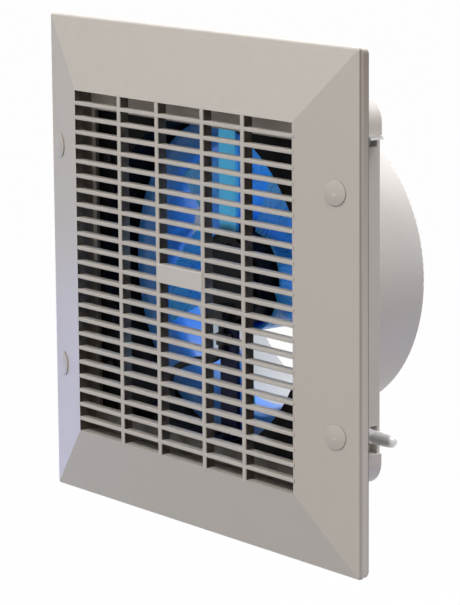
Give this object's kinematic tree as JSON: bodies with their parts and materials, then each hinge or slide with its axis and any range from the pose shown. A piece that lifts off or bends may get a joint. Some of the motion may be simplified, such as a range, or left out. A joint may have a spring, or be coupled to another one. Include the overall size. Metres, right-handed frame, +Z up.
{
  "type": "panel fan",
  "caption": "Square panel fan with a slatted front panel, a shallow tub with sprung side latches and a round duct spigot behind its axial impeller.",
  "frame": {"origin": "on the fan axis, in the plane where the flange gasket meets the wall", "axes": "+X to the right seen from the room, +Y into the wall along the fan axis, +Z up"},
  "size_m": [0.26, 0.0999, 0.26],
  "materials": {
    "shell": "fine-textured beige-grey moulding",
    "gasket": "soft foam rubber",
    "chassis": "black moulding",
    "ring": "slate blue moulding",
    "impeller": "blue translucent moulding",
    "strap": "black semi-gloss paint",
    "motor": "black paint",
    "core": "stacked steel sheets",
    "coil": "enamelled wire",
    "bearing": "sintered bush",
    "block": "white moulding",
    "fitting": "dark grey moulding",
    "lead": "black sheath",
    "steel": "bright zinc"
  },
  "bodies": {
    "housing": {"badge_plate": "shell", "bracket_screws": "steel", "cable_gland": "fitting", "chassis_screws": "steel", "cover_screw": "steel", "duct_spigot": "shell", "fan_chassis": "chassis", "flange_gasket": "gasket", "front_bearing": "bearing", "front_panel": "shell", "gland_nut": "fitting", "hook_rivets": "steel", "hook_tabs": "steel", "inlet_ring": "ring", "latch_barrels": "steel", "latch_spring_left": "steel", "latch_spring_right": "steel", "lead_boot": "fitting", "lead_bush": "fitting", "lead_clip": "fitting", "motor_bracket": "strap", "motor_can": "motor", "motor_front_cap": "motor", "motor_lead": "lead", "motor_screws": "steel", "panel_screws": "steel", "rear_bearing": "bearing", "rear_housing": "shell", "ring_screws": "steel", "screw_caps": "shell", "spigot_screws": "steel", "stator_coils": "coil", "stator_core": "core", "terminal_block": "block", "terminal_box": "chassis", "terminal_cover": "chassis", "terminal_screws": "steel"},
    "rotor": {"impeller": "impeller", "motor_shaft": "steel", "rotor_core": "core", "impeller_nut": "steel"},
    "latch_right": {"latch_plunger_right": "steel"},
    "latch_left": {"latch_plunger_left": "steel"}
  },
  "joints": [
    {"name": "impeller_spin", "type": "hinge", "parent": "housing", "child": "rotor", "pos_m": [0, 0, 0], "axis": [0, 1, 0], "continuous": true},
    {"name": "latch_right_slide", "type": "slide", "parent": "housing", "child": "latch_right", "axis": [-1, 0, 0], "range_m": [0, 0.014], "stiffness_N_per_m": 300, "springref_m": -0.01, "deforming": ["latch_spring_right"]},
    {"name": "latch_left_slide", "type": "slide", "parent": "housing", "child": "latch_left", "axis": [1, 0, 0], "range_m": [0, 0.014], "stiffness_N_per_m": 300, "springref_m": -0.01, "deforming": ["latch_spring_left"]}
  ]
}
